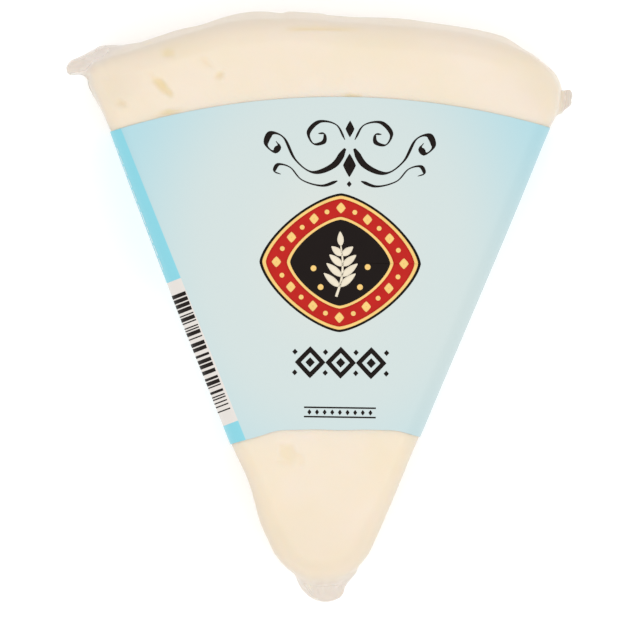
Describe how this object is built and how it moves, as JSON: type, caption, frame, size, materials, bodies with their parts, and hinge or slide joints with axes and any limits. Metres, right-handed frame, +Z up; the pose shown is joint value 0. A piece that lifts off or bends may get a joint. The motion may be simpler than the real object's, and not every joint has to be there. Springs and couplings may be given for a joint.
{
  "type": "vacuum-packed feta wedge",
  "caption": "Wedge of white cheese in skin-tight clear film with pinched ears and a wrap-around pale blue label, lying flat.",
  "frame": {"origin": "middle of the bounding box in plan, on the surface that the pack lies on", "axes": "+Z up, out of the labelled face; +Y from the tip towards the rim along the wedge's middle line; +X to the right of it seen from above"},
  "size_m": [0.1023, 0.12, 0.0352],
  "materials": {
    "film": "clear skin-tight vacuum film, glossy, with its weld and ears milky",
    "cheese": "moist creamy white cheese with small whey-filled pits, seen through the film",
    "label": "smooth printed film label, satin, pale blue that fades to a warm grey-white in the middle",
    "print": "printed ink in black, red and gold, satin"
  },
  "bodies": {
    "root": {"pack": "film", "label": "label"}
  },
  "joints": []
}
